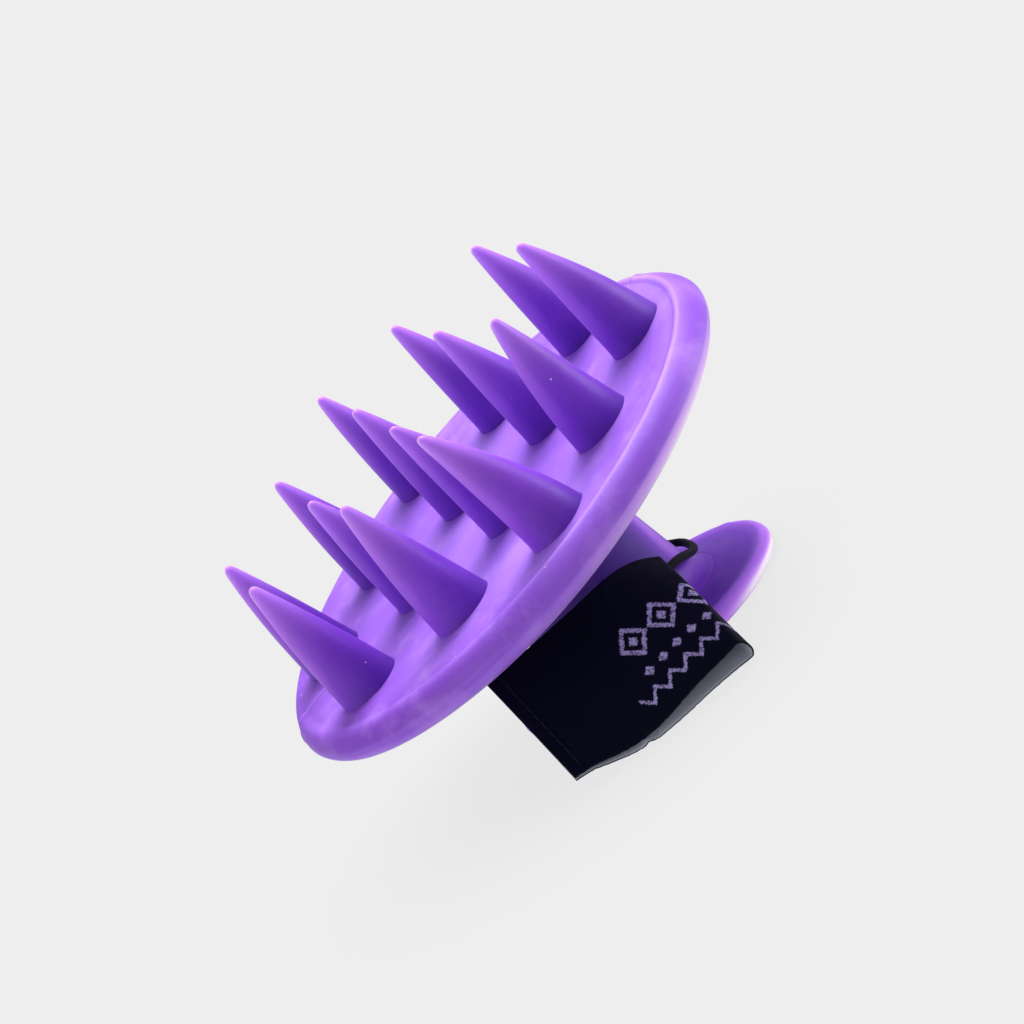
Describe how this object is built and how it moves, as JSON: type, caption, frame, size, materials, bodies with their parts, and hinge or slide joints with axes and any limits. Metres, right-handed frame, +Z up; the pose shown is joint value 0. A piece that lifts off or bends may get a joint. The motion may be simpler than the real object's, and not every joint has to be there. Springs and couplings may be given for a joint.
{
  "type": "curry comb",
  "caption": "Round soft massaging curry comb with pointed rubber teeth on a dished plate, a thick neck, a dished finger knob and a folded woven label hung on an elastic cord.",
  "frame": {"origin": "centre of the knob's flat outer face, which the comb stands on", "axes": "+Z up, from the knob's face towards the teeth; +X across the comb along its rows of teeth, towards the label; the neck leans 13.2 degrees towards azimuth -62 degrees"},
  "size_m": [0.0895, 0.0882, 0.0632],
  "materials": {
    "silicone_light": "satin light violet silicone",
    "silicone_deep": "satin deep violet silicone",
    "woven_satin": "navy woven satin ribbon",
    "elastic_cord": "black braided elastic",
    "thread": "matt navy sewing thread"
  },
  "bodies": {
    "comb": {"tooth_plate": "silicone_light", "handle_neck": "silicone_deep", "finger_knob": "silicone_deep", "tooth_1_1": "silicone_deep", "tooth_1_2": "silicone_deep", "tooth_2_1": "silicone_deep", "tooth_2_2": "silicone_deep", "tooth_2_3": "silicone_deep", "tooth_3_1": "silicone_deep", "tooth_3_2": "silicone_deep", "tooth_3_3": "silicone_deep", "tooth_3_4": "silicone_deep", "tooth_4_1": "silicone_deep", "tooth_4_2": "silicone_deep", "tooth_4_3": "silicone_deep", "tooth_5_1": "silicone_deep", "tooth_5_2": "silicone_deep"},
    "loop": {"cord_loop": "elastic_cord"},
    "lead": {"cord_knot": "elastic_cord", "cord_lead": "elastic_cord"},
    "stop_knot": {"cord_end_bead": "elastic_cord"},
    "label": {"label_ribbon": "woven_satin", "label_seam": "thread"}
  },
  "joints": [
    {"name": "loop_slide", "type": "slide", "parent": "comb", "child": "loop", "axis": [0.1065, -0.202, 0.9736], "range_m": [0, 0.0012]},
    {"name": "label_turn", "type": "hinge", "parent": "loop", "child": "lead", "pos_m": [0.00051, -0.00184, 0.008], "axis": [0, 0, 1], "continuous": true},
    {"name": "label_swing", "type": "hinge", "parent": "lead", "child": "stop_knot", "pos_m": [0.0285, 0.00093, 0.01041], "axis": [0, 0, 1], "range_deg": [-15, 40]},
    {"name": "label_flap", "type": "hinge", "parent": "stop_knot", "child": "label", "pos_m": [0.0285, 0.00093, 0.01041], "axis": [-0.0922, -0.9957, 0.0069], "range_deg": [0, 30]}
  ]
}
